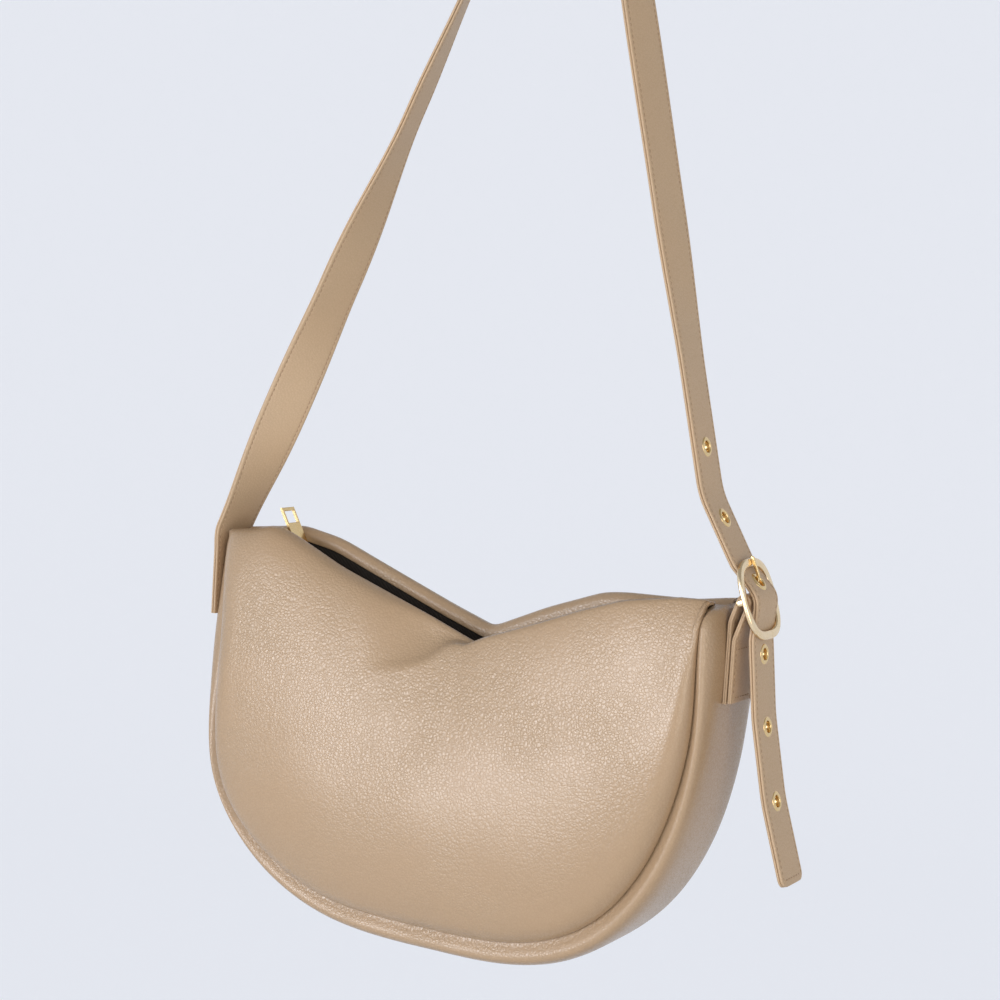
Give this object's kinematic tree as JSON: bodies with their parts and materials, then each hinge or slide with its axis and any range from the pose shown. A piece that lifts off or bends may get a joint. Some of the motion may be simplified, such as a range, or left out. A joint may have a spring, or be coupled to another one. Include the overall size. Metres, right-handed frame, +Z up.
{
  "type": "half moon shoulder bag",
  "caption": "Half-moon shoulder bag with a curved zip mouth between rolled lips, a rounded gusset and a twisting strap held by a pin buckle and eyelets.",
  "frame": {"origin": "inside of the strap at its top, where a hook, rail or shoulder carries the bag", "axes": "+Z up along the hanging bag, +X to the buckle end, -Y to the front panel"},
  "size_m": [0.3892, 0.0867, 0.6663],
  "materials": {
    "panel_leather": "pebbled taupe faux leather with a soft gloss",
    "strap_leather": "pebbled taupe faux leather, stitched edges",
    "lining_cloth": "plain woven cloth",
    "zip_tape_cloth": "dark woven zip tape",
    "gold_metal": "polished pale gold plating"
  },
  "bodies": {
    "bag": {"front_panel": "panel_leather", "back_panel": "panel_leather", "gusset": "panel_leather", "strap_outer": "strap_leather", "strap_inner": "strap_leather", "buckle_tab": "strap_leather", "zip_end_tab_left": "strap_leather", "zip_end_tab_right": "strap_leather", "front_lining": "lining_cloth", "back_lining": "lining_cloth", "gusset_lining": "lining_cloth", "front_seam_binding": "lining_cloth", "back_seam_binding": "lining_cloth", "zip_tape_front": "zip_tape_cloth", "zip_tape_back": "zip_tape_cloth", "zip_facing_front": "zip_tape_cloth", "zip_facing_back": "zip_tape_cloth", "zip_teeth_front": "gold_metal", "zip_teeth_back": "gold_metal", "zip_stop_left": "gold_metal", "zip_stop_right": "gold_metal", "buckle_frame": "gold_metal", "buckle_bar": "gold_metal", "eyelet_1": "gold_metal", "eyelet_2": "gold_metal", "eyelet_3": "gold_metal"},
    "slider": {"zip_slider": "gold_metal"},
    "pull": {"zip_pull": "gold_metal"},
    "prong": {"buckle_prong": "gold_metal"},
    "strap_tail": {"strap_tail_outer": "strap_leather", "strap_tail_inner": "strap_leather", "eyelet_4": "gold_metal", "eyelet_5": "gold_metal", "eyelet_6": "gold_metal"}
  },
  "joints": [
    {"name": "zip_travel", "type": "hinge", "parent": "bag", "child": "slider", "pos_m": [-0.0414, 0, -0.2821], "axis": [0, -1, 0], "range_deg": [0, 70.7]},
    {"name": "pull_swing", "type": "hinge", "parent": "slider", "child": "pull", "pos_m": [-0.15776, 0, -0.44586], "axis": [0, 1, 0], "range_deg": [-8, 130]},
    {"name": "prong_swing", "type": "hinge", "parent": "bag", "child": "prong", "pos_m": [0.13826, 0, -0.4383], "axis": [0, 1, 0], "range_deg": [0, 3]},
    {"name": "tail_flex", "type": "hinge", "parent": "bag", "child": "strap_tail", "pos_m": [0.14464, 0, -0.46009], "axis": [0, -1, 0], "range_deg": [-8, 25]}
  ]
}
